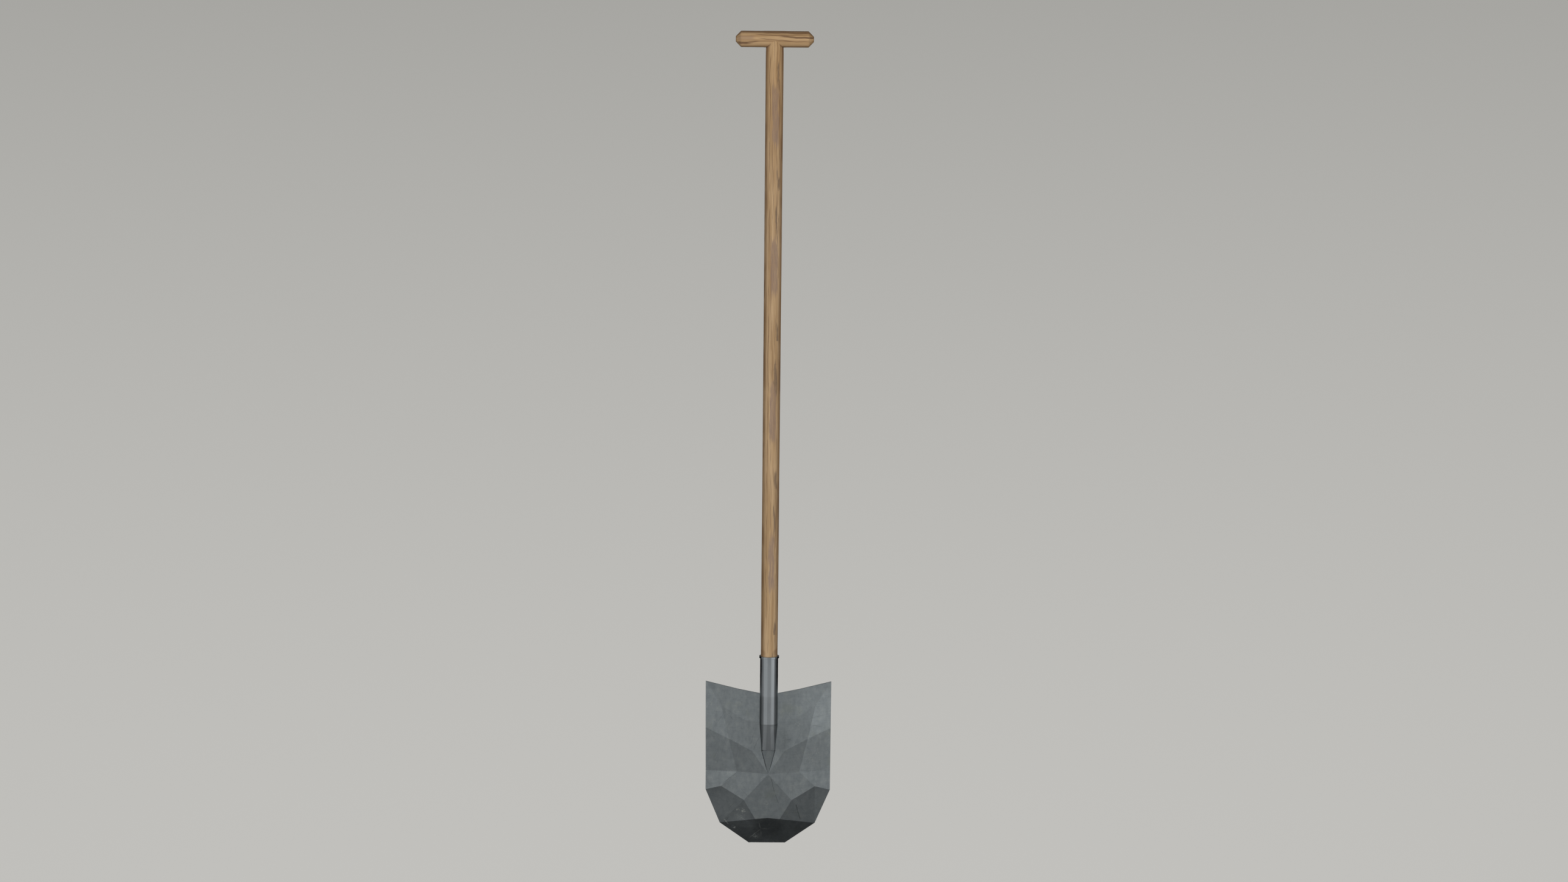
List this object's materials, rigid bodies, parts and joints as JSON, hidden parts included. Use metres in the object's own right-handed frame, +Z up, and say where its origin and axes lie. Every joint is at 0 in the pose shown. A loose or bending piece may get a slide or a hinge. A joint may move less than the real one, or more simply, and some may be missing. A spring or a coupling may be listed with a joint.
{
  "type": "detecting shovel",
  "caption": "Long-handled digging shovel: wooden shaft with a wooden T-grip, steel socket with a collar, and a folded, dished steel blade with a straight cutting edge.",
  "frame": {"origin": "where the T-grip's axis crosses the shaft's axis, the point from which the shovel hangs in a rack", "axes": "+Z up along the shaft, away from the blade; X along the T-grip; +Y into the blade's concave scoop side, so the socket's side faces -Y"},
  "size_m": [0.2078, 0.0926, 1.3558],
  "materials": {
    "blade_steel": "worn blue-grey satin with fine scratches, pale specks and dark scuffs",
    "socket_steel": "satin, polished by use on its flats",
    "rivet_steel": "filed flush, satin",
    "weld_steel": "rippled weld, dull and heat-tinted",
    "shaft_wood": "oiled ash with long grain and brown streaks, satin",
    "grip_wood": "oiled ash, grain along the grip, hand-polished",
    "wedge_wood": "dark hardwood, hidden inside the joint"
  },
  "bodies": {
    "root": {"blade": "blade_steel", "socket": "socket_steel", "socket_point": "socket_steel", "socket_collar": "socket_steel", "socket_rivets": "rivet_steel", "weld_left": "weld_steel", "weld_right": "weld_steel", "shaft": "shaft_wood", "grip": "grip_wood", "grip_wedge": "wedge_wood"}
  },
  "joints": []
}
